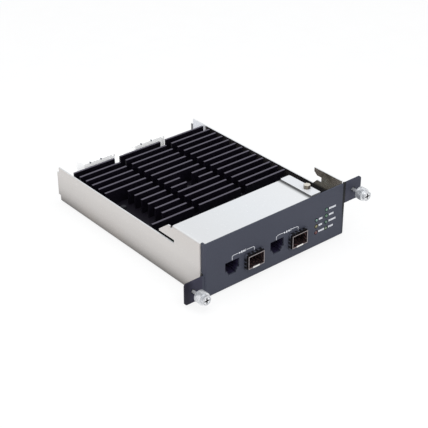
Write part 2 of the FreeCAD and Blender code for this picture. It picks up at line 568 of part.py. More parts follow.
def optical_cage(name, pair):
    """Cage, spring gasket and host connector of one optical port."""
    x = cage_x + d.port_pitch * pair
    half, wall = d.cage_width / 2, d.cage_sheet
    rim = d.rim_width
    tube = cut(f"{name}_tube", box(f"{name}_outer", (-half, half), (-d.cage_proud, d.cage_rear),
                                   (cage_low, cage_high)),
               box(f"{name}_inner", (-half + wall, half - wall),
                   (-d.cage_proud - wall, d.cage_rear - wall),
                   (cage_low + wall, cage_high - wall)))
    frame = cut(f"{name}_frame", box(f"{name}_frame_outer", (-half, half),
                                     (-d.cage_proud, -d.cage_proud + d.rim_depth),
                                     (cage_low, cage_high)),
                box(f"{name}_frame_inner", (-half + rim, half - rim),
                    (-d.cage_proud - rim, -d.cage_proud + d.rim_depth + rim),
                    (cage_low + rim, cage_high - rim)))
    latch = box(f"{name}_latch", (-d.latch_width / 2, d.latch_width / 2),
                (-d.cage_proud, -d.cage_proud + d.latch_length),
                (cage_low + wall, cage_low + rim + d.latch_thick))
    feet = [box(f"{name}_foot_{i}", (px - d.cage_sheet, px + d.cage_sheet),
                (py, py + d.latch_thick * 4), (board_top, cage_low + wall))
            for i, (px, py) in enumerate([(sx * (half - wall), sy)
                                          for sx in (-1, 1)
                                          for sy in (board_front + d.rim_depth * 2,
                                                     d.cage_rear - d.latch_length)])]
    node(f"{name}_cage", fuse(f"{name}_cage_body", tube, frame, latch, *feet), x)

    grip, band, gap = d.gasket_sheet, d.gasket_band, d.gasket_gap
    collar = cut(f"{name}_collar",
                 box(f"{name}_collar_outer", (-half - band + gap, half + band - gap),
                     (-d.gasket_front, d.panel_sheet),
                     (cage_low - band + gap, cage_high + band - gap)),
                 box(f"{name}_collar_inner",
                     (-half - band + gap + grip, half + band - gap - grip),
                     (-d.gasket_front - grip, d.panel_sheet + grip),
                     (cage_low - band + gap + grip, cage_high + band - gap - grip)))
    seat = cut(f"{name}_seat",
               box(f"{name}_seat_outer", (-half - band + gap, half + band - gap),
                   (d.panel_sheet - grip, d.panel_sheet),
                   (cage_low - band + gap, cage_high + band - gap)),
               box(f"{name}_seat_inner", (-half, half),
                   (d.panel_sheet - grip * 2, d.panel_sheet + grip), (cage_low, cage_high)))
    pitch = d.gasket_finger + d.gasket_slot
    slots = []
    for i in range(-3, 4):
        at = pitch * (i - 0.5)
        slots.append(box(f"{name}_slot_x_{i + 3}", (at - d.gasket_slot / 2, at
                                                    + d.gasket_slot / 2),
                         (-d.gasket_front - grip, d.panel_sheet - grip * 2),
                         (cage_low - band, cage_high + band)))
    centre = (cage_low + cage_high) / 2
    for i in range(-2, 3):
        at = centre + pitch * (i - 0.5)
        slots.append(box(f"{name}_slot_z_{i + 2}", (-half - band, half + band),
                         (-d.gasket_front - grip, d.panel_sheet - grip * 2),
                         (at - d.gasket_slot / 2, at + d.gasket_slot / 2)))
    node(f"{name}_gasket", fuse(f"{name}_gasket_body", cut(f"{name}_fingers", collar, *slots),
                                seat), x)

    host_half = d.host_width / 2
    host_rear = d.cage_rear - wall - d.host_setback
    host_front = host_rear - d.host_depth
    slot_mid = cage_low + wall + d.host_height / 2
    host = cut(f"{name}_host_block",
               box(f"{name}_host_blank", (-host_half, host_half), (host_front, host_rear),
                   (cage_low + wall, cage_low + wall + d.host_height)),
               box(f"{name}_host_slot", (-d.host_slot_width / 2, d.host_slot_width / 2),
                   (host_front - wall, host_front + d.host_slot_depth),
                   (slot_mid - d.host_slot_height / 2, slot_mid + d.host_slot_height / 2)))
    node(f"{name}_host_connector", host, x)


for pair, side in enumerate(("left", "right")):
    copper_jack(f"{side}_copper_jack", pair)
    optical_cage(f"{side}_optical", pair)

# --------------------------------------------------------------------------- light pipes
pipes, lamps = [], []
holder_rear = board_front + d.holder_thick
for i, (x, row) in enumerate(led_places):
    z = d.led_low + d.led_pitch * row
    bend_y = holder_rear + d.pipe_step * row
    half = d.pipe_radius
    lamp_top = board_top + d.led_height
    pipes.append(fuse(f"light_pipe_{i}",
                      rod(f"pipe_run_{i}", "y", (x, -d.pipe_proud, z), half,
                          bend_y + d.pipe_proud),
                      box(f"pipe_leg_{i}", (x - half, x + half), (bend_y, bend_y + half * 2),
                          (lamp_top + d.pipe_air, z + half))))
    lamps.append(box(f"lamp_{i}", (x - d.led_size / 2, x + d.led_size / 2),
                     (bend_y, bend_y + half * 2), (board_top, lamp_top)))
holder = cut("pipe_holder_body",
             box("pipe_holder_blank",
                 (led_left_x - d.holder_margin, led_right_x + d.holder_margin),
                 (board_front, holder_rear),
                 (board_top, d.led_low + d.led_pitch * 3 + d.holder_margin)),
             *[rod(f"holder_hole_{i}", "y", (x, size(0), d.led_low + d.led_pitch * row),
                   d.pipe_radius, holder_rear * 2) for i, (x, row) in enumerate(led_places)])
node("light_pipes", group("light_pipe_set", *pipes))
node("light_pipe_holder", holder)
node("indicator_leds", group("lamp_set", *lamps))

# --------------------------------------------------------------------------- heat sink
base = box("sink_base", (sink_left, sink_right), (sink_front, sink_rear),
           (sink_base_low, sink_base_high))
fins = [box(f"fin_{row}", (sink_left, sink_right),
            (fin_y(row) - d.fin_thick / 2, fin_y(row) + d.fin_thick / 2),
            (sink_base_high, fin_top)) for row in range(fin_rows)]
channels = [box(f"cross_cut_{i}", (x, x + d.cross_cut_width),
                (sink_front - d.fin_pitch, sink_rear + d.fin_pitch),
                (sink_base_high, fin_top * 2)) for i, x in enumerate(cross_cuts)]
pockets = [
    box("side_pocket", (-sink_left, d.side_pocket_right),
        (fin_y(1) - d.fin_pitch / 2, fin_y(6) + d.fin_pitch / 2),
        (sink_base_high, fin_top * 2)),
    box("centre_pocket", (d.centre_pocket_left, d.centre_pocket_right),
        (fin_y(4) - d.fin_pitch / 2, fin_y(5) + d.fin_pitch / 2),
        (sink_base_high, fin_top * 2))]
screw_holes = [rod(f"sink_hole_{i}", "z", (x, y, sink_base_low - d.washer_thick),
                   d.sink_screw_radius + d.board_hole_gap, fin_top)
               for i, (x, y) in enumerate(sink_screws)]
phy_places = [(d.jack_x + d.port_pitch * pair + d.port_pitch / 4,
               sink_front + d.phy_behind_edge) for pair in range(2)]
switch_at = (d.card_width - d.switch_chip_inset, board_rear - d.switch_chip_back)
cpu_at = (d.cpu_x, board_rear - d.cpu_back)
hot_chips = [("switch", d.switch_chip_side, *switch_at), ("processor", d.cpu_side, *cpu_at)]
hot_chips += [(f"phy_{i}", d.phy_side, x, y) for i, (x, y) in enumerate(phy_places)]


def square(name, side, x, y, low, high):
    return box(name, (x - side / 2, x + side / 2), (y - side / 2, y + side / 2), (low, high))


pedestals = [square(f"{name}_pedestal", side - d.pedestal_margin * 2, x, y, pad_top,
                    sink_base_high) for name, side, x, y in hot_chips]
node("heat_sink", cut("sink_body", fuse("sink_blank", base, *pedestals), *screw_holes))
node("heat_sink_fins", cut("fin_body", fuse("fin_blank", *fins), *channels, *pockets))
node("heat_sink_posts", group("sink_post_set", *[
    cut(f"sink_post_{i}", hexagon(f"sink_post_hex_{i}", "z", (x, y, board_top),
                                  d.sink_post_across, sink_base_low - board_top),
        rod(f"sink_post_bore_{i}", "z", (x, y, board_top), d.sink_screw_radius,
            sink_base_low - board_top)) for i, (x, y) in enumerate(sink_screws)]))
node("heat_sink_washers", group("sink_washer_set", *[
    cut(f"sink_washer_{i}", rod(f"sink_washer_disc_{i}", "z", (x, y, sink_base_high),
                                d.cross_cut_width / 2 - d.washer_thick, d.washer_thick),
        rod(f"sink_washer_bore_{i}", "z", (x, y, sink_base_high), d.sink_screw_radius,
            d.washer_thick)) for i, (x, y) in enumerate(sink_screws)]))
washer_top = sink_base_high + d.washer_thick
node("heat_sink_screws", group("sink_screw_set", *[
    fuse(f"sink_screw_{i}",
         rod(f"sink_screw_head_{i}", "z", (x, y, washer_top),
             d.cross_cut_width / 2 - d.washer_thick * 1.5, d.sink_screw_head_thick),
         rod(f"sink_screw_shank_{i}", "z", (x, y, board_low), d.sink_screw_radius,
             washer_top - board_low)) for i, (x, y) in enumerate(sink_screws)]))

# --------------------------------------------------------------------------- chips
node("switch_chip", square("switch_chip_block", d.switch_chip_side, *switch_at, board_top,
                           chip_top))
node("processor_chip", square("processor_chip_block", d.cpu_side, *cpu_at, board_top, chip_top))
node("phy_chips", group("phy_chip_set", *[
    square(f"phy_chip_{i}", d.phy_side, x, y, board_top, chip_top)
    for i, (x, y) in enumerate(phy_places)]))
node("thermal_pads", group("thermal_pad_set", *[
    square(f"{name}_pad", side - d.pedestal_margin * 2, x, y, chip_top, pad_top)
    for name, side, x, y in hot_chips]))


def laid(name, x, y, length, width, height):
    """Part lying on the board, given by its middle."""
    return box(name, (x - length / 2, x + length / 2), (y - width / 2, y + width / 2),
               (board_top, board_top + height))


node("memory_chips", group("memory_set", *[
    laid(f"memory_{i}", d.memory_x, board_rear - d.memory_back + d.memory_pitch * i,
         d.memory_width, d.memory_length, d.memory_thick) for i in range(3)]))
flash_x = d.cpu_x - d.cpu_side / 2 - d.flash_gap - d.flash_length / 2
node("flash_chip", laid("flash_block", flash_x, board_rear - d.flash_back, d.flash_length,
                        d.flash_width, d.flash_height))
node("crystal_oscillator", laid("crystal_block", d.crystal_x, d.crystal_y, d.crystal_length,
                                d.crystal_width, d.crystal_height))
node("power_inductors", group("inductor_set", *[
    laid(f"inductor_{i}", d.inductor_x + d.inductor_pitch * i, board_rear - d.inductor_back,
         d.inductor_side, d.inductor_side, d.inductor_height) for i in range(2)]))
node("polymer_capacitors", group("capacitor_set", *[
    rod(f"capacitor_{i}", "z", (d.card_width - d.cap_inset, d.cap_y + d.cap_pitch * i, board_top),
        d.cap_radius, d.cap_height) for i in range(3)]))
node("line_magnetics", group("magnetics_set", *[
    laid(f"magnetics_{pair}", d.jack_x + d.port_pitch * pair, d.magnetics_y,
         d.magnetics_length, d.magnetics_width, d.magnetics_height) for pair in range(2)]))


# --------------------------------------------------------------------------- rear sockets
def backplane_socket(name, left):
    """Right-angle socket open to the rear, with two rows of spring blades."""
    wall = d.socket_cavity_wall
    floor = socket_rear - d.socket_cavity_depth
    cavity_low, cavity_high = board_top + wall, d.socket_top - wall
    notch_room = d.socket_width - d.socket_end - d.socket_notch
    notches = [box(f"{name}_notch_{i}", (at - d.socket_notch / 2, at + d.socket_notch / 2),
                   (socket_front - d.socket_notch, floor - wall),
                   (d.socket_top - d.socket_notch_depth, d.socket_top * 2))
               for i, at in enumerate(d.socket_end + d.socket_module * k for k in range(
                   int(notch_room.value / d.socket_module.value) + 1))]
    housing = cut(f"{name}_block",
                  box(f"{name}_blank", (size(0), d.socket_width), (socket_front, socket_rear),
                      (board_top, d.socket_top)),
                  box(f"{name}_cavity", (wall, d.socket_width - wall), (floor, socket_rear + wall),
                      (cavity_low, cavity_high)), *notches)
    node(f"{name}_housing", housing, left)
    blades = []
    blade_room = d.socket_width - wall * 2 - d.blade_end_gap * 2 - d.blade_width
    blade_steps = int(blade_room.value / d.blade_pitch.value)
    first = d.socket_width / 2 - d.blade_pitch * blade_steps / 2
    for i in range(blade_steps + 1):
        x = first + d.blade_pitch * i - d.blade_width / 2
        for row, low in (("low", cavity_low), ("high", cavity_high - d.blade_thick)):
            blades.append(box(f"{name}_{row}_blade_{i}", (x, x + d.blade_width),
                              (floor, floor + d.blade_length), (low, low + d.blade_thick)))
    node(f"{name}_blades", group(f"{name}_blade_set", *blades), left)


backplane_socket("left_backplane_socket", d.socket_left_x)
power_x = d.socket_left_x + d.socket_width + d.power_gap
backplane_socket("right_backplane_socket", power_x + d.power_width + d.socket_gap)
power_rear = socket_rear - d.power_setback
power_front = power_rear - d.power_depth
power_housing = cut("power_block",
                    box("power_blank", (size(0), d.power_width), (power_front, power_rear),
                        (board_top, d.power_top)),
                    box("power_cavity", (d.power_wall, d.power_width - d.power_wall),
                        (power_front + d.power_wall, power_rear + d.power_wall),
                        (board_top + d.power_wall, d.power_top - d.power_wall)))
node("power_socket_housing", power_housing, power_x)
node("power_socket_blades", group("power_blade_set", *[
    box(f"power_blade_{i}", (x, x + d.power_blade),
        (power_front + d.power_wall, power_rear - d.power_wall),
        (board_top + d.power_wall * 1.5, d.power_top - d.power_wall * 1.5))
    for i, x in enumerate((d.power_wall, d.power_width - d.power_wall - d.power_blade))]),
    power_x)


# --------------------------------------------------------------------------- thumbscrews
def captive_screw(side, x, z):
    """Thumbscrew pulled out of the ear, with the ring that keeps it there."""
    name = f"{side}_thumbscrew"
    head_back = -d.pulled_out
    knurl_front = head_back - d.knurl_length
    tip_front = knurl_front - d.collar_length
    ring_low = d.panel_sheet + d.seat_gap
    thread_start = ring_low + d.ring_thick + d.seat_gap
    knurled = rod(f"{name}_knurl", "y", (size(0), knurl_front, size(0)), d.knurl_radius,
                  d.knurl_length)
    collar = rod(f"{name}_collar", "y", (size(0), tip_front, size(0)), d.collar_radius,
                 d.collar_length)
    neck = rod(f"{name}_neck", "y", (size(0), head_back, size(0)), d.neck_radius,
               thread_start - head_back)
    thread = rod(f"{name}_thread", "y", (size(0), thread_start, size(0)), d.thread_radius,
                 d.thread_length)
    groove_y = head_back - d.head_groove * 2
    groove = cut(f"{name}_groove",
                 rod(f"{name}_groove_outer", "y", (size(0), groove_y, size(0)),
                     d.knurl_radius * 2, d.head_groove),
                 rod(f"{name}_groove_inner", "y", (size(0), groove_y, size(0)),
                     d.knurl_radius - d.head_groove_depth, d.head_groove))
    half, arm = d.recess_width / 2, d.recess_length / 2
    recess = [box(f"{name}_recess_{i}", across, (tip_front - d.recess_depth,
                                                 tip_front + d.recess_depth), up)
              for i, (across, up) in enumerate((((-half, half), (-arm, arm)),
                                                ((-arm, arm), (-half, half))))]
    screw = cut(f"{name}_body", fuse(f"{name}_turned", knurled, collar, neck, thread), groove,
                *recess)
    node(name, screw, x, ear_face, z)
    ring = cut(f"{name}_ring_body",
               rod(f"{name}_ring_disc", "y", (size(0), ring_low, size(0)), d.ring_radius,
                   d.ring_thick),
               rod(f"{name}_ring_bore", "y", (size(0), ring_low, size(0)),
                   d.neck_radius + d.ring_gap, d.ring_thick))
    node(f"{side}_retaining_ring", ring, x, ear_face, z)


for side, (x, z) in screw_places.items():
    captive_screw(side, x, z)

# --------------------------------------------------------------------------- check and write
doc.recompute()
for obj in doc.Objects:
    if {"Invalid", "Error"} & set(obj.State):
        raise RuntimeError(f"{obj.Name} failed: {obj.State}")
for name, obj in nodes.items():
    if obj.Shape.isNull() or not obj.Shape.isValid() or not obj.Shape.Solids:
        raise RuntimeError(f"{name} has no sound shape")
os.makedirs("parts", exist_ok=True)
for name, obj in nodes.items():
    obj.Shape.exportStep(f"parts/{name}.step")
print(len(nodes), "nodes,", sum(len(obj.Shape.Solids) for obj in nodes.values()), "solids")
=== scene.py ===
"""Looks for the switch line card: materials, printed marks, knurling, springs and studio."""
import json
import math

import bmesh
import bpy
from mathutils import Matrix, Vector


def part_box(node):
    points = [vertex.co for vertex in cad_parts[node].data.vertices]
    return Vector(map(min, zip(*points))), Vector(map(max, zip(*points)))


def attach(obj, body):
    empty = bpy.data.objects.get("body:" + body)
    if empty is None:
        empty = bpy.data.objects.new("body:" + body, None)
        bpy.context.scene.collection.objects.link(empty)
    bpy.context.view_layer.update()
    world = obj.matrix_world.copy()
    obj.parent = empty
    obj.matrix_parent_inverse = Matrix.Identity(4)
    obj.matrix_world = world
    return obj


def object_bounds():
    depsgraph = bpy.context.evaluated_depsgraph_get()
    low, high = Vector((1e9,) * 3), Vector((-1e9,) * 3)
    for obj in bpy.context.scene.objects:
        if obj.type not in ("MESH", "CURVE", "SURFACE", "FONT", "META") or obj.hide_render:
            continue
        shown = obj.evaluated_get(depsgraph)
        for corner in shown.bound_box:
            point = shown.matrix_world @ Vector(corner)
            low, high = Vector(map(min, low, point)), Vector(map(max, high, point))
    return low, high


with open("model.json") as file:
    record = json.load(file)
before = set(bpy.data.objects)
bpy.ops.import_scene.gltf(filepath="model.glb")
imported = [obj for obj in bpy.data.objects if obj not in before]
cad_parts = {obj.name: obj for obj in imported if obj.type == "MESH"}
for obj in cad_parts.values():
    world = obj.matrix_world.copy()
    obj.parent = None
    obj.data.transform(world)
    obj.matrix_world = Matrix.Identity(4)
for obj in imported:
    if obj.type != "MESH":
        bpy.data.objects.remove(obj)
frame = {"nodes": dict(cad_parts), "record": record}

cad_low, cad_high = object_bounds()
nodes = frame["nodes"]
MM = 0.001
NOISE_LOW, NOISE_HIGH = 0.3, 0.7     # the middle of a noise, where most of its area lies
INK_DEPTH = 0.03 * MM
tray_low, tray_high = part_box("chassis_tray")
panel_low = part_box("front_panel")[0]
face_y = panel_low.y
cage_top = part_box("left_optical_cage")[1].z


# ------------------------------------------------------------------ materials
class Shade:
    """A node material built up from a principled shader."""

    def __init__(self, name, rough=0.5, metal=0.0, specular=0.5, coat=0.0):
        self.mat = bpy.data.materials.new(name)
        self.mat.use_nodes = True
        self.tree = self.mat.node_tree
        self.bsdf = self.tree.nodes["Principled BSDF"]
        self.bsdf.inputs["Roughness"].default_value = rough
        self.bsdf.inputs["Metallic"].default_value = metal
        self.bsdf.inputs["Specular IOR Level"].default_value = specular
        self.bsdf.inputs["Coat Weight"].default_value = coat
        self.where = self.add("ShaderNodeTexCoord").outputs["Object"]

    def add(self, kind, **values):
        node = self.tree.nodes.new(kind)
        for key, value in values.items():
            setattr(node, key, value)
        return node

    def link(self, a, b):
        self.tree.links.new(a, b)

    def noise(self, size, detail=4.0, stretch=(1, 1, 1)):
        place = self.add("ShaderNodeMapping")
        self.link(self.where, place.inputs["Vector"])
        place.inputs["Scale"].default_value = stretch
        node = self.add("ShaderNodeTexNoise")
        self.link(place.outputs["Vector"], node.inputs["Vector"])
        node.inputs["Scale"].default_value = size
        node.inputs["Detail"].default_value = detail
        node.inputs["Roughness"].default_value = 0.55
        return node.outputs["Fac"]

    def ramp(self, value, stops):
        node = self.add("ShaderNodeValToRGB")
        band = node.color_ramp
        while len(band.elements) < len(stops):
            band.elements.new(0.5)
        for element, (at, colour) in zip(band.elements, stops):
            element.position = at
            element.color = (*colour, 1)
        self.link(value, node.inputs["Fac"])
        return node.outputs["Color"]

    def tones(self, noise, dark, pale):
        """Colour that runs from dark to pale over the middle of a noise."""
        return self.ramp(noise, [(NOISE_LOW, dark), (NOISE_HIGH, pale)])

    def span(self, value, low, high, out_low=0.0, out_high=1.0):
        """Number that runs from out_low to out_high as value goes from low to high."""
        node = self.add("ShaderNodeMapRange", clamp=True)
        self.link(value, node.inputs["Value"])
        for key, number in (("From Min", low), ("From Max", high), ("To Min", out_low),
                            ("To Max", out_high)):
            node.inputs[key].default_value = number
        return node.outputs["Result"]

    def beyond(self, axis, start, full, out_low=0.0, out_high=1.0):
        """Mask of what lies past start along one axis, complete at full."""
        node = self.add("ShaderNodeSeparateXYZ")
        self.link(self.where, node.inputs["Vector"])
        return self.span(node.outputs[axis], start, full, out_low, out_high)

    def facing(self, axis, low, high, out_low=0.0, out_high=1.0):
        """Mask of what is turned towards one axis."""
        node = self.add("ShaderNodeSeparateXYZ")
        self.link(self.add("ShaderNodeNewGeometry").outputs["Normal"], node.inputs["Vector"])
        return self.span(node.outputs[axis], low, high, out_low, out_high)

    def math(self, operation, a, b):
        node = self.add("ShaderNodeMath", operation=operation, use_clamp=True)
        for socket, value in zip(node.inputs, (a, b)):
            if isinstance(value, (int, float)):
                socket.default_value = value
            else:
                self.link(value, socket)
        return node.outputs[0]

    def both(self, *masks):
        """Where all the masks hold."""
        result = masks[0]
        for mask in masks[1:]:
            result = self.math("MULTIPLY", result, mask)
        return result

    def mix(self, factor, first, second, mode="MIX"):
        node = self.add("ShaderNodeMix", data_type="RGBA", blend_type=mode)
        if isinstance(factor, (int, float)):
            node.inputs[0].default_value = factor
        else:
            self.link(factor, node.inputs[0])
        for socket, value in ((node.inputs[6], first), (node.inputs[7], second)):
            if isinstance(value, tuple):
                socket.default_value = (*value, 1)
            else:
                self.link(value, socket)
        return node.outputs[2]

    def multiply(self, first, second):
        return self.mix(1.0, first, second, "MULTIPLY")

    def colour(self, value):
        self.link(value, self.bsdf.inputs["Base Color"])
        return self

    def roughness(self, noise, low, high):
        """Roughness that runs from low to high over the middle of a noise."""
        self.link(self.span(noise, NOISE_LOW, NOISE_HIGH, low, high),
                  self.bsdf.inputs["Roughness"])
        return self

    def bump(self, value, depth, strength):
        node = self.add("ShaderNodeBump")
        node.inputs["Strength"].default_value = strength
        node.inputs["Distance"].default_value = depth
        self.link(value, node.inputs["Height"])
        self.link(node.outputs["Normal"], self.bsdf.inputs["Normal"])
        return self


def lin(r, g, b):
    """Linear colour of a colour given in display steps of 255."""
    return tuple((c / 255 / 12.92) if c <= 10 else ((c / 255 + 0.055) / 1.055) ** 2.4
                 for c in (r, g, b))


def grey(level):
    """Linear grey."""
    return (level, level, level)


def grained(name, colour, spread=0.15, size=300.0, rough=0.5, metal=0.0, specular=0.5, coat=0.0):
    """Material whose colour, roughness and relief all follow a fine noise."""
    s = Shade(name, rough, metal, specular, coat)
    grain = s.noise(size)
    s.colour(s.tones(grain, tuple(c * (1 - spread) for c in colour),
                     tuple(min(1, c * (1 + spread)) for c in colour)))
    s.roughness(grain, rough - 0.08, rough + 0.08)
    return s.bump(grain, 0.05 * MM, 0.25)


def tray_metal():
    """Brushed sheet: outer walls in painted shade towards the floor, pale tops with a painted
    shadow by the cover strip, and inner faces with a painted reflection of the sink.
    """
    s = Shade("tray_sheet", 0.3, 0.3, 0.5)
    brushing = s.noise(420.0, 5.0, (4, 1, 60))

    # painted shade: the outer walls darken towards the floor, and most of all where the bend turns
    # down
    wall_fade = 25 * MM
    wall = s.ramp(s.beyond("Z", tray_low.z, tray_low.z + wall_fade),
                  [(0.03, lin(94, 90, 87)), (0.1, lin(117, 113, 110)),
                   (0.165, lin(140, 136, 133)), (0.26, lin(161, 157, 154)),
                   (0.36, lin(176, 172, 169)), (0.55, lin(190, 186, 183)),
                   (0.95, lin(200, 196, 193))])
    wall = s.multiply(wall, s.tones(brushing, grey(0.95), grey(1)))
    warm = s.span(s.noise(18.0, 2.0), 0.45, 0.7, 0.0, 0.25)
    wall = s.mix(warm, wall, s.mix(0.5, wall, lin(186, 172, 160)))
    wall = s.mix(s.facing("Z", -0.02, -0.3, 0.0, 0.95), wall, lin(40, 38, 37))

    # the tops get paler to the right
    top = s.ramp(s.beyond("X", tray_low.x, tray_high.x * 0.6),
                 [(0.1, lin(213, 214, 215)), (0.5, lin(219, 221, 223)),
                  (0.9, lin(225, 226, 227))])
    top = s.multiply(top, s.tones(brushing, grey(0.97), grey(1)))

    # painted shadow: a soft dark band on the flange, along the left side of the cover strip
    strip_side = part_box("cover_strip")[0].x
    strip_shadow_start = strip_side - 3.5 * MM
    band = s.ramp(s.beyond("X", strip_shadow_start, strip_side),
                  [(0.0, grey(0.97)), (0.28, grey(0.74)), (0.43, grey(0.60)),
                   (0.57, grey(0.39)), (0.71, grey(0.21)), (0.86, grey(0.14))])
    on_strip_shadow = s.both(s.beyond("X", strip_shadow_start - 0.5 * MM, strip_shadow_start),
                     s.beyond("X", strip_side + 0.6 * MM, strip_side + 0.3 * MM),
                     s.beyond("Z", tray_high.z - 2.5 * MM, tray_high.z - 2.0 * MM))
    top = s.mix(on_strip_shadow, top, s.multiply(top, band))
    tone = s.mix(s.facing("Z", 0.4, 0.9), wall, top)

    # painted reflection: faces turned inwards get a dark colour for the sink they mirror, and only
    # their rear ends are pale, a pale painted reflection
    painted_inner_reflection = s.ramp(s.noise(60.0, 3.0, (1, 1, 2)),
                  [(0.35, lin(84, 80, 84)), (0.7, lin(112, 106, 108))])
    rear = s.beyond("Y", tray_high.y - 19 * MM, tray_high.y - 15 * MM)
    painted_inner_reflection = s.mix(rear, painted_inner_reflection, lin(232, 234, 240))
    tab = s.beyond("Y", tray_high.y - 2.7 * MM, tray_high.y - 2.4 * MM)
    painted_inner_reflection = s.mix(tab, painted_inner_reflection, lin(104, 104, 108))
    # pale blotches of painted light on the hook plate
    hook = s.both(s.beyond("Z", tray_high.z - 13.5 * MM, tray_high.z - 11.5 * MM),
                  s.beyond("Y", tray_low.y + 40 * MM, tray_low.y + 35 * MM))
    hook_painted_light = s.ramp(s.noise(95.0, 3.0),
                    [(0.36, lin(184, 170, 158)), (0.5, lin(238, 222, 210)),
                     (0.66, lin(252, 242, 232))])
    painted_inner_reflection = s.mix(hook, painted_inner_reflection, hook_painted_light)
    inner_from, inner_full = 55 * MM, 58 * MM
    inner = s.math("ADD",
                   s.both(s.facing("X", -0.5, -0.8), s.beyond("X", inner_from, inner_full)),
                   s.both(s.facing("X", 0.5, 0.8), s.beyond("X", -inner_from, -inner_full)))
    s.colour(s.mix(inner, tone, painted_inner_reflection))

    # the inner faces are the most metallic and the tops the least
    metallic = s.span(s.math("SUBTRACT", inner, rear), 0.0, 1.0, 0.3, 0.8)
    s.link(s.math("SUBTRACT", metallic, s.facing("Z", 0.4, 0.9, 0.0, 0.2)),
           s.bsdf.inputs["Metallic"])
    s.roughness(brushing, 0.16, 0.28)
    return s.bump(brushing, 0.01 * MM, 0.05)


def panel_paint():
    """Slate powder paint, with painted shade on the ears and where the panel turns away at its
    ends.
    """
    s = Shade("panel_slate", 0.55, 0.0, 0.2)
    powder = s.noise(1600.0, 3.0)
    tone = s.tones(powder, lin(57, 59, 71), lin(66, 69, 81))
    tone = s.mix(s.span(s.noise(14.0, 2.0), 0.4, 0.7, 0.0, 0.3), tone, lin(73, 76, 88))
    # painted shade: darker ears, a darker outer end of the left ear, and a dark strip where the
    # panel turns away at its right end
    bend = tray_high.x
    ear_from, ear_full = bend + 0.1 * MM, bend + 1.0 * MM
    ear_shade = s.math("ADD", s.beyond("X", ear_from, ear_full, 0.0, 0.35),
                  s.beyond("X", -ear_from, -ear_full, 0.0, 0.8))
    tone = s.mix(ear_shade, tone, lin(50, 48, 66))
    left_end_shade = s.beyond("X", panel_low.x + 7.5 * MM, panel_low.x + 2.5 * MM, 0.0, 0.85)
    tone = s.mix(left_end_shade, tone, lin(22, 20, 32))
    right_bend_shade = s.both(s.beyond("X", bend - 3.0 * MM, bend - 2.5 * MM),
                       s.beyond("X", bend + 0.9 * MM, bend + 0.5 * MM),
                       s.beyond("Z", panel_low.z + 12 * MM, panel_low.z + 21 * MM, 0.3, 0.95))
    s.colour(s.mix(right_bend_shade, tone, lin(10, 10, 13)))
    s.roughness(powder, 0.48, 0.62)
    return s.bump(powder, 0.03 * MM, 0.2)


def sink_black():
    """Black anodised aluminium, with a painted grey reflection on the fins' upper edges."""
    s = Shade("sink_anodised", 0.38, 0.0, 0.35)
    grain = s.noise(500.0, 3.0, (1, 30, 1))
    fin_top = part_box("heat_sink_fins")[1].z
    # painted reflection: the fins' upper edges turn grey
    fin_top_reflection = s.beyond("Z", fin_top - 0.3 * MM, fin_top - 0.05 * MM)
    s.colour(s.mix(fin_top_reflection, s.tones(grain, lin(10, 7, 15), lin(17, 13, 24)),
                   s.tones(grain, lin(74, 70, 80), lin(94, 90, 102))))
    s.roughness(grain, 0.32, 0.45)
    return s.bump(grain, 0.02 * MM, 0.15)


def nickel():
    """Bright turned nickel with painted dark reflections and painted shade in the recess of each
    screw head.
    """
    s = Shade("bright_nickel", 0.2, 0.6, 0.5)
    turned = s.noise(700.0, 3.0, (1, 12, 1))
    tone = s.tones(turned, lin(214, 215, 217), lin(238, 239, 241))
    # painted reflection: dark patches on the faces not turned to the front
    painted_dark_reflection = s.span(s.noise(210.0, 1.0, (1, 0.5, 1)), 0.52, 0.38, 0.0, 0.55)
    tone = s.mix(s.both(painted_dark_reflection, s.facing("Y", -0.9, -0.5)), tone, lin(134, 138, 144))
    # painted shade in the recess of each screw head
    recess_edge, recess_full = 2.4 * MM, 2.3 * MM
    for side in ("left", "right"):
        low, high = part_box(f"{side}_thumbscrew")
        recess_shade = s.both(s.beyond("Y", low.y + 0.12 * MM, low.y + 0.3 * MM),
                        s.beyond("Y", low.y + 1.6 * MM, low.y + 1.5 * MM),
                        *(s.beyond(axis, at + way * recess_edge, at + way * recess_full)
                          for axis, at in (("X", (low.x + high.x) / 2),
                                           ("Z", (low.z + high.z) / 2))
                          for way in (-1, 1)))
        tone = s.mix(recess_shade, tone, lin(84, 84, 88))
    s.colour(tone)
    s.roughness(turned, 0.10, 0.24)
    return s.bump(turned, 0.02 * MM, 0.15)


def strip_sheet():
    """Plated sheet, pale on top, with darker sides that are partly raw cut edges and partly
    painted shade.
    """
    s = Shade("strip_sheet", 0.3, 0.3, 0.5)
    grain = s.noise(260.0, stretch=(30, 2, 1))
    # painted shade and raw cut edges: every face not turned up is darker
    return s.colour(s.mix(s.facing("Z", 0.3, 0.7),
                          s.tones(grain, lin(112, 112, 114), lin(136, 136, 138)),
                          s.tones(grain, lin(230, 232, 234), lin(237, 238, 241))))


def cage_tin():
    """Tin plate: bright front edge, a bore in painted shade with reddish specks, and outer sides
    behind the springs in painted shade.
    """
    s = Shade("tin_cage", 0.32, 0.3, 0.4)
    rim = s.tones(s.noise(400.0), lin(138, 130, 130), lin(164, 156, 156))
    # painted shade in the bore, with reddish specks
    bore_shade = s.ramp(s.noise(900.0, 2.0),
                  [(0.46, lin(46, 40, 43)), (0.58, lin(76, 60, 62)), (0.7, lin(156, 116, 112))])
    # painted shade on the outer sides behind the springs
    outside_shade = s.beyond("Z", cage_top - 0.35 * MM, cage_top - 0.25 * MM)
    for cage in ("left", "right"):
        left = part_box(f"{cage}_optical_cage")[0].x
        outside_shade = s.math("ADD", outside_shade,
                         s.both(s.beyond("X", left - 0.4 * MM, left - 0.3 * MM),
                                s.beyond("X", left + 0.12 * MM, left + 0.08 * MM)))
    inner = s.mix(outside_shade, bore_shade, lin(34, 31, 34))
    return s.colour(s.mix(s.facing("Y", -0.5, -0.8), inner, rim))


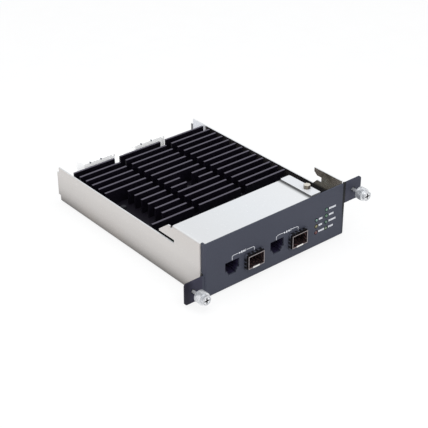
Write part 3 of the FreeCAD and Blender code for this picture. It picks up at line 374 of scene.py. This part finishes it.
def hex_zinc():
    """Zinc plated hexagon, with painted light on top and painted shade on its front and right
    facets.
    """
    s = Shade("yellow_zinc", 0.3, 0.35, 0.5)
    grain = s.noise(420.0)
    tone = s.tones(grain, lin(92, 84, 74), lin(134, 126, 112))
    # painted shade on the front and right facets, and painted light on the top
    dark = s.tones(grain, lin(44, 36, 32), lin(84, 74, 66))
    tone = s.mix(s.facing("Y", -0.7, -0.95), tone, dark)
    tone = s.mix(s.facing("X", 0.2, 0.6), tone, dark)
    s.colour(s.mix(s.facing("Z", 0.5, 0.9), tone, lin(222, 216, 204)))
    return s.bump(grain, 0.04 * MM, 0.25)


def socket_moulding():
    """White translucent moulding with a painted glow: a little emission stands in for scattered
    light.
    """
    s = Shade("socket_moulding", 0.55, 0.0, 0.5)
    grain = s.noise(700.0)
    s.colour(s.tones(grain, lin(240, 240, 239), lin(250, 250, 250)))
    # painted light: the moulding glows a little though it is no lamp
    s.bsdf.inputs["Emission Color"].default_value = (1, 1, 1, 1)
    s.bsdf.inputs["Emission Strength"].default_value = 0.23
    return s.bump(grain, 0.05 * MM, 0.25)


looks = {
    "tray_steel": tray_metal(),
    "panel_paint": panel_paint(),
    "strip_steel": strip_sheet(),
    "black_anodised": sink_black(),
    "yellow_zinc": hex_zinc(),
    "bright_nickel": nickel(),
    "plain_steel": grained("plain_steel", lin(170, 170, 172), 0.12, 500, 0.35, 0.8),
    "black_steel": grained("black_steel", lin(45, 45, 50), 0.2, 500, 0.45, 0.5),
    "tin_cage": cage_tin(),
    "dark_spring": grained("gasket_band", lin(74, 76, 88), 0.12, 700),
    "black_plastic": grained("black_moulding", lin(42, 38, 60), 0.5, 900, 0.35),
    "socket_plastic": socket_moulding(),
    "gold_contact": grained("gold_plate", lin(212, 178, 96), 0.12, 800, 0.22, 0.95),
    "board_green": grained("board_mask", lin(24, 44, 36), 0.2, 600, 0.4),
    "chip_black": grained("chip_moulding", lin(30, 30, 33), 0.2, 1200, 0.6),
    "part_metal": grained("part_can", lin(196, 196, 200), 0.08, 500, 0.35, 0.8),
    "pad_grey": grained("soft_pad", lin(140, 148, 158), 0.1, 500, 0.8),
    "light_pipe_clear": grained("light_pipe", lin(150, 162, 152), 0.1, 400, 0.2, coat=0.4),
    "lamp_white": grained("lamp_body", lin(232, 232, 222), 0.06, 500),
}
slots = {part["node"]: part["material_slot"] for part in frame["record"]["subparts"]}
for name, obj in nodes.items():
    obj.data.materials.clear()
    obj.data.materials.append(looks[slots[name]].mat)

ink = grained("print_ink", lin(226, 227, 232), 0.06, 900, 0.6)
face_ring_shade = grained("face_ring_shade", lin(128, 128, 132), 0.15, 900, 0.3, 0.5)
spring_black = grained("spring_black", lin(18, 16, 19), 0.3, 700, 0.4, 0.3)
slot_shade = grained("socket_slot", lin(140, 142, 146), 0.2, 900, 0.6)
latch_tab_highlight = grained("latch_tab", lin(236, 234, 230), 0.05, 600, 0.3, 0.3)


# ------------------------------------------------------------------ mesh helpers
def add_object(name, bm, shade):
    mesh = bpy.data.meshes.new(name)
    bm.to_mesh(mesh)
    bm.free()
    obj = bpy.data.objects.new(name, mesh)
    bpy.context.scene.collection.objects.link(obj)
    mesh.materials.append(shade.mat)
    return obj


def piece(name, bm, shade, body="card", smooth=False):
    obj = add_object(name, bm, shade)
    for face in obj.data.polygons:
        face.use_smooth = smooth
    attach(obj, body)


def block(bm, low, high, bevel=0.0):
    """Box from corner to corner in metres, with small chamfers on its edges."""
    made = bmesh.ops.create_cube(bm, size=1.0)["verts"]
    low, high = Vector(low), Vector(high)
    bmesh.ops.scale(bm, vec=high - low, verts=made)
    bmesh.ops.translate(bm, vec=(low + high) / 2, verts=made)
    if bevel:
        edges = {e for v in made for e in v.link_edges}
        bmesh.ops.bevel(bm, geom=list(edges), offset=bevel, segments=2, affect="EDGES")


def skin(bm, rings):
    """Faces between each ring of points and the next."""
    for one, two in zip(rings, rings[1:]):
        for i in range(len(one)):
            j = (i + 1) % len(one)
            bm.faces.new((one[i], one[j], two[j], two[i]))


def ring(bm, centre, y, radii):
    """Ring of evenly turned points about an axis along Y through (x, z), one for each radius."""
    points = []
    for i, radius in enumerate(radii):
        turn = 2 * math.pi * i / len(radii)
        points.append(bm.verts.new((centre[0] + radius * math.cos(turn), y,
                                    centre[1] + radius * math.sin(turn))))
    return points


def stroke(bm, points, width):
    """Flat printed line on the panel's face through (x, z) points, mitred at the corners."""
    pts = [Vector(p) for p in points]
    rings = []
    for i, p in enumerate(pts):
        before = (p - pts[i - 1]).normalized() if i else None
        after = (pts[i + 1] - p).normalized() if i + 1 < len(pts) else None
        way = ((before or after) + (after or before)).normalized()
        across = Vector((-way.y, way.x))
        edge = after or before
        reach = width / 2 / max(0.4, across.dot(Vector((-edge.y, edge.x))))
        a, b = p + across * reach, p - across * reach
        rings.append([bm.verts.new((q.x, at, q.y)) for q, at in
                      ((a, face_y), (b, face_y), (b, face_y - INK_DEPTH),
                       (a, face_y - INK_DEPTH))])
    skin(bm, rings)
    bm.faces.new(rings[0])
    bm.faces.new(rings[-1][::-1])
    bmesh.ops.recalc_face_normals(bm, faces=bm.faces)


# ------------------------------------------------------------------ printed marks
# Places are in mm from the middle of a copper jack and the top of its shell. A bracket runs
# from the jack to its optical cage, with four bars in the gap in its line.
JACKS = {"left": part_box("left_copper_jack_housing"),
         "right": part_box("right_copper_jack_housing")}
LINE_WIDTH = 0.34 * MM
BRACKET_RIGHT = ((12.4, 0.3), (18.3, 0.1), (19.2, -0.6), (19.2, -2.6))
BRACKET_LEFT = {"left": ((-0.1, -2.8), (-0.1, -0.3), (0.9, 0.5), (5.3, 0.4)),
                "right": ((-0.8, -2.9), (-0.8, -0.6), (0.6, 0.2), (5.6, 0.2))}
BARS_PLACE = {"left": (5.7, 11.7, 0.3), "right": (6.0, 12.5, -0.1)}     # start, end, level
BARS = ((1.3, 0.5), (1.1, 0.75), (1.3, 0.65), (0.4, 1.0))     # width, half the height


def port_marks(side):
    low, high = JACKS[side]

    def at_jack(x, z):
        return ((low.x + high.x) / 2 + x * MM, high.z + z * MM)

    bm = bmesh.new()
    for line in (BRACKET_LEFT[side], BRACKET_RIGHT):
        stroke(bm, [at_jack(*p) for p in line], LINE_WIDTH)
    x, end, level = BARS_PLACE[side]
    gap = (end - x - sum(width for width, _ in BARS)) / (len(BARS) - 1)
    for width, tall in BARS:
        a, b = at_jack(x, level - tall), at_jack(x + width, level + tall)
        block(bm, (a[0], face_y - INK_DEPTH, a[1]), (b[0], face_y, b[1]))
        x += width + gap
    piece(f"{side}_port_marks", bm, ink)


port_marks("left")
port_marks("right")

# ------------------------------------------------------------------ lamps
# The outermost light pipes give the columns and the top row. Each row of short bars beside the
# lamps starts at an offset from its column and is as wide, in mm, as the print on the real card.
PIPE_RADIUS = 0.95 * MM
ROW_PITCH = 4.92 * MM
BAR, BAR_GAP, BAR_LEAST = 0.85 * MM, 0.3 * MM, 0.4 * MM
pipes_low, pipes_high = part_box("light_pipes")
column_left = pipes_low.x + PIPE_RADIUS
column_right = pipes_high.x - PIPE_RADIUS
lamp_low = pipes_high.z - PIPE_RADIUS - 3 * ROW_PITCH
bm = bmesh.new()
for column, offset, rows in ((column_right, 2.6, (4.5, 6.9, 4.4, 6.3)),
                             (column_left, 2.4, (6.2, 3.5, 3.8))):
    for row, width in enumerate(rows):
        x = column + offset * MM
        end = x + width * MM
        z = lamp_low + ROW_PITCH * row
        while x < end - BAR_LEAST:
            run = min(BAR, end - x)
            block(bm, (x, face_y - INK_DEPTH, z - 0.7 * MM), (x + run, face_y, z + 0.75 * MM))
            x += run + BAR_GAP
piece("lamp_marks", bm, ink)

LENS_RADIUS, LENS_FLAT = 0.93 * MM, 0.28
RIM_RADIUS = 1.6 * MM
# colours of the lens and of the ring of painted shade around it, by side and row from the bottom
LAMP_TINTS = {("left", 0): ((88, 36, 40), (58, 22, 28)),
              ("left", 1): ((128, 124, 80), (58, 50, 30)),
              ("left", 2): ((104, 138, 130), (16, 22, 28)),
              ("right", 0): ((98, 116, 94), (38, 50, 38)),
              ("right", 1): ((76, 110, 94), (24, 50, 42)),
              ("right", 2): ((80, 116, 92), (26, 54, 40)),
              ("right", 3): ((92, 128, 112), (24, 50, 44))}


def lamp_window(side, row, tint, rim):
    """Domed lens at the end of a light pipe, in a dark disc of painted shade, tinted like the
    lens, on the panel.
    """
    x = column_left if side == "left" else column_right
    z = lamp_low + ROW_PITCH * row
    bm = bmesh.new()
    bmesh.ops.create_uvsphere(bm, u_segments=24, v_segments=12, radius=LENS_RADIUS)
    bmesh.ops.scale(bm, vec=(1, LENS_FLAT, 1), verts=bm.verts)
    bmesh.ops.translate(bm, vec=(x, pipes_low.y, z), verts=bm.verts)
    lens = grained(f"lamp_tint_{side}_{row}", lin(*tint), 0.2, 900, 0.25, coat=0.5)
    piece(f"lamp_window_{side}_{row}", bm, lens, smooth=True)
    bm = bmesh.new()
    bmesh.ops.create_circle(bm, cap_ends=True, segments=32, radius=RIM_RADIUS,
                            matrix=Matrix.Rotation(math.pi / 2, 4, "X"))
    disc = bmesh.ops.extrude_face_region(bm, geom=list(bm.faces))["geom"]
    bmesh.ops.translate(bm, vec=(0, -INK_DEPTH, 0),
                        verts=[v for v in disc if isinstance(v, bmesh.types.BMVert)])
    bmesh.ops.translate(bm, vec=(x, face_y, z), verts=bm.verts)
    bmesh.ops.recalc_face_normals(bm, faces=bm.faces)
    # the disc is painted shade around the lens, tinted like it
    edge = grained(f"lamp_ring_shade_{side}_{row}", lin(*rim), 0.15, 900, 0.8, specular=0.05)
    piece(f"lamp_shade_ring_{side}_{row}", bm, edge)


for (side, row), tints in LAMP_TINTS.items():
    lamp_window(side, row, *tints)


# ------------------------------------------------------------------ knurled grips
def grip(side):
    """Knurled sleeve with one groove, over a thumbscrew's cylinder, and a ring of painted shade on
    its face.
    """
    low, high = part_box(f"{side}_thumbscrew")
    centre = (low.x + high.x) / 2, (low.z + high.z) / 2
    radius = (high.x - low.x) / 2
    front = low.y + 2.4 * MM
    back = front + 5.2 * MM
    groove_front, groove_back = back - 1.35 * MM, back - 0.5 * MM
    teeth = 36
    profile = (0.12, 0.0, -0.06, 0.0)     # of one tooth, in mm
    proud, pulled = 0.03 * MM, 0.25 * MM
    bm = bmesh.new()
    for start, stop in ((front, groove_front), (groove_back, back)):
        skin(bm, [ring(bm, centre, y, [radius + tooth * MM + proud - pull
                                       for tooth in profile * teeth])
                  for y, pull in ((start + 0.02 * MM, pulled), (start + 0.3 * MM, 0.0),
                                  (stop - 0.3 * MM, 0.0), (stop - 0.02 * MM, pulled))])
    bmesh.ops.recalc_face_normals(bm, faces=bm.faces)
    piece(f"{side}_grip", bm, looks["bright_nickel"], f"{side}_screw")

    # a grey ring of painted shade on the screw's face
    outer, inner, raised, steps = 2.95 * MM, 2.6 * MM, -0.02 * MM, 48
    bm = bmesh.new()
    rings = [ring(bm, centre, low.y + y, [r] * steps)
             for r, y in ((outer, 0.0), (outer, raised), (inner, raised), (inner, 0.0))]
    skin(bm, rings + rings[:1])
    bmesh.ops.recalc_face_normals(bm, faces=bm.faces)
    piece(f"{side}_face_ring", bm, face_ring_shade, f"{side}_screw")


grip("left")
grip("right")


# ------------------------------------------------------------------ cage springs and sockets
def cage_springs(side):
    """Bowed spring fingers along the left side and top of an optical cage, and its latch tab with
    a painted highlight.
    """
    low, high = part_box(f"{side}_optical_cage")
    finger_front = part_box(f"{side}_optical_gasket")[0].y - 0.12 * MM
    air, reach, rounding = 0.12 * MM, 1.25 * MM, 0.1 * MM
    bm = bmesh.new()
    for i in range(3):
        z = low.z + (0.7 + 2.9 * i) * MM
        block(bm, (low.x - reach, finger_front, z), (low.x - air, face_y, z + 1.7 * MM), rounding)
    for i in range(4):
        x = low.x + (1.0 + 3.4 * i) * MM
        block(bm, (x, finger_front, high.z + air), (x + 1.8 * MM, face_y, high.z + reach),
              rounding)
    piece(f"{side}_cage_springs", bm, spring_black)
    # the latch tab is painted pale: a painted highlight
    bm = bmesh.new()
    block(bm, (low.x + 3.9 * MM, low.y - 0.2 * MM, low.z + 0.1 * MM),
          (low.x + 9.9 * MM, low.y + 0.3 * MM, low.z + 1.2 * MM), 0.15 * MM)
    piece(f"{side}_latch_tab", bm, latch_tab_highlight)


def socket_slots(side):
    """Two small grey blocks of painted shade in the slots on the top front edge of a rear socket.
    """
    low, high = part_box(f"{side}_backplane_socket_housing")
    half_width, depth, tall = 0.7 * MM, 1.4 * MM, 1.0 * MM
    proud, rounding = 0.04 * MM, 0.03 * MM
    bm = bmesh.new()
    for share in (0.2, 0.55):
        x = low.x + share * (high.x - low.x)
        block(bm, (x - half_width, low.y - proud, high.z - tall),
              (x + half_width, low.y + depth, high.z + proud), rounding)
    piece(f"{side}_socket_slots", bm, slot_shade)


cage_springs("left")
cage_springs("right")
socket_slots("left")
socket_slots("right")


# ------------------------------------------------------------------ studio
def floor_paper():
    """White paper that keeps the shadow, and shows as white to the camera and in metal."""
    s = Shade("floor_white", 0.9)
    s.colour(s.tones(s.noise(40.0, 3.0), grey(0.90), grey(0.94)))
    path = s.add("ShaderNodeLightPath")
    glow = s.add("ShaderNodeEmission")
    glow.inputs["Color"].default_value = (1, 1, 1, 1)
    glow.inputs["Strength"].default_value = 1.0
    seen = s.math("MAXIMUM", path.outputs["Is Camera Ray"], path.outputs["Is Glossy Ray"])
    blend = s.add("ShaderNodeMixShader")
    s.link(s.math("MULTIPLY", seen, 0.8), blend.inputs["Fac"])
    s.link(s.bsdf.outputs["BSDF"], blend.inputs[1])
    s.link(glow.outputs["Emission"], blend.inputs[2])
    s.link(blend.outputs["Shader"], s.tree.nodes["Material Output"].inputs["Surface"])
    return s


bm = bmesh.new()
bmesh.ops.create_grid(bm, x_segments=2, y_segments=2, size=4.0)
floor = add_object("floor", bm, floor_paper())
floor.location.z = cad_low.z - 0.2 * MM

# soft blue-white light on the card, and plain white behind it
world = bpy.data.worlds.new("studio")
bpy.context.scene.world = world
world.use_nodes = True
tree = world.node_tree
ray = tree.nodes.new("ShaderNodeLightPath")
choose = tree.nodes.new("ShaderNodeMixShader")
tree.links.new(ray.outputs["Is Camera Ray"], choose.inputs["Fac"])
white = tree.nodes.new("ShaderNodeBackground")
for i, (sky, colour, strength) in enumerate(((tree.nodes["Background"], (0.93, 0.96, 1.0, 1), 0.5),
                                             (white, (1, 1, 1, 1), 1.0))):
    sky.inputs["Color"].default_value = colour
    sky.inputs["Strength"].default_value = strength
    tree.links.new(sky.outputs["Background"], choose.inputs[1 + i])
tree.links.new(choose.outputs["Shader"], tree.nodes["World Output"].inputs["Surface"])


def lamp(name, place, aim, width, power, tint=(1, 1, 1)):
    light = bpy.data.lights.new(name, "AREA")
    light.shape = "RECTANGLE"
    light.size, light.size_y = width, width
    light.energy, light.color = power, tint
    obj = bpy.data.objects.new(name, light)
    bpy.context.scene.collection.objects.link(obj)
    obj.location = place
    obj.rotation_euler = (Vector(aim) - Vector(place)).to_track_quat("-Z", "Y").to_euler()


lamp("key_overhead", (-0.1, -0.2, 1.0), (0, 0, 0), 1.7, 13.4)
lamp("left_soft", (-1.0, -0.1, 0.35), (0, 0, 0.01), 0.7, 2.2, (1, 0.97, 0.94))
lamp("front_soft", (-0.1, -1.0, 0.35), (0, 0, 0.01), 0.7, 1.2)

# ------------------------------------------------------------------ camera
CAMERA_PLACE = (-0.44282, -0.55397, 0.4209)
LENS = 95.08
yaw, pitch, roll = (math.radians(a) for a in (39.574, 30.563, -0.261))
forward = Vector((math.sin(yaw) * math.cos(pitch), math.cos(yaw) * math.cos(pitch),
                  -math.sin(pitch)))
level = Vector((math.cos(yaw), -math.sin(yaw), 0))
upright = level.cross(forward)
right = level * math.cos(roll) + upright * math.sin(roll)
up = upright * math.cos(roll) - level * math.sin(roll)
camera = bpy.data.objects.new("camera", bpy.data.cameras.new("camera"))
camera.data.sensor_width = 36.0
camera.data.lens = LENS
camera.data.clip_start, camera.data.clip_end = 0.01, 20
turn = Matrix((right, up, -forward)).transposed()
camera.matrix_world = Matrix.Translation(CAMERA_PLACE) @ turn.to_4x4()
bpy.context.scene.collection.objects.link(camera)
bpy.context.scene.camera = camera
bpy.context.scene.view_settings.view_transform = "Standard"
